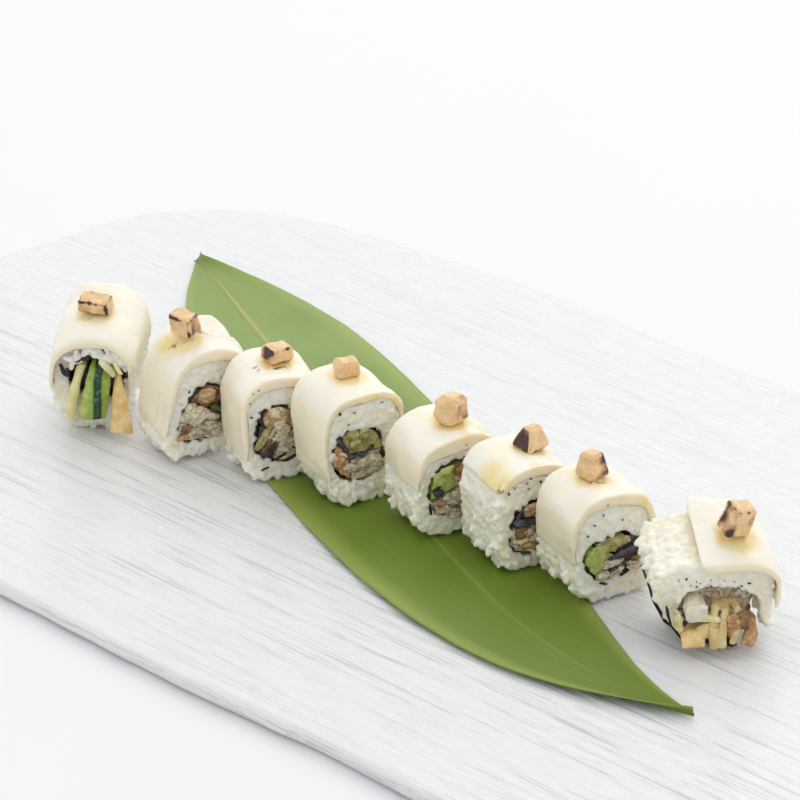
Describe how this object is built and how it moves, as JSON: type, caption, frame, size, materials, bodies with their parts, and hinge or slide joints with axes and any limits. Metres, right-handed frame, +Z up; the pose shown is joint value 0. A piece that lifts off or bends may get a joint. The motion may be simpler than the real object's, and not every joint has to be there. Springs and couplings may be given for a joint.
{
  "type": "uramaki roll",
  "caption": "Sliced uramaki roll with flame-seared white fish over rice, standing in a row on a bamboo leaf on a clear glass serving plate.",
  "frame": {"origin": "middle of the plate's flat underside", "axes": "+X along the plate and the row of slices, +Z up; the cut faces with their filling look towards -Y and +X"},
  "size_m": [0.468, 0.2655, 0.0532],
  "materials": {
    "brown": "moist",
    "cream": "satin",
    "crisp": "fried",
    "cube": "seared, satin",
    "cucumber": "moist",
    "eel": "flaky, moist",
    "egg": "satin",
    "fish": "moist, satin",
    "fry": "fried",
    "glass": "polished",
    "green": "moist",
    "leaf": "waxy, satin",
    "nori": "matt",
    "rice": "moist, glossy",
    "shred": "moist",
    "skin": "glossy",
    "stem": "moist",
    "strips": "moist",
    "white": "moist"
  },
  "bodies": {
    "root": {"brown_2": "brown", "brown_5": "brown", "cream_1": "cream", "crisp_4": "crisp", "crisp_8": "crisp", "cube_1": "cube", "cube_2": "cube", "cube_3": "cube", "cube_4": "cube", "cube_5": "cube", "cube_6": "cube", "cube_7": "cube", "cube_8": "cube", "cucumber_1": "cucumber", "cucumber_5": "cucumber", "cucumber_7": "cucumber", "eel_2": "eel", "eel_3": "eel", "eel_4": "eel", "eel_5": "eel", "eel_6": "eel", "egg_3": "egg", "fish_1": "fish", "fish_2": "fish", "fish_2_back": "fish", "fish_3": "fish", "fish_4": "fish", "fish_5": "fish", "fish_6": "fish", "fish_7": "fish", "fish_8": "fish", "fry_1": "fry", "fry_8": "fry", "green_2": "green", "leaf": "leaf", "nori_1": "nori", "nori_2": "nori", "nori_3": "nori", "nori_4": "nori", "nori_5": "nori", "nori_6": "nori", "nori_7": "nori", "nori_8": "nori", "plate": "glass", "rice_1": "rice", "rice_2": "rice", "rice_3": "rice", "rice_4": "rice", "rice_5": "rice", "rice_6": "rice", "rice_7": "rice", "rice_8": "rice", "shred_1": "shred", "skin_3": "skin", "skin_6": "skin", "skin_7": "skin", "stem_4": "stem", "stem_7": "stem", "strips_8": "strips", "white_8": "white"}
  },
  "joints": []
}
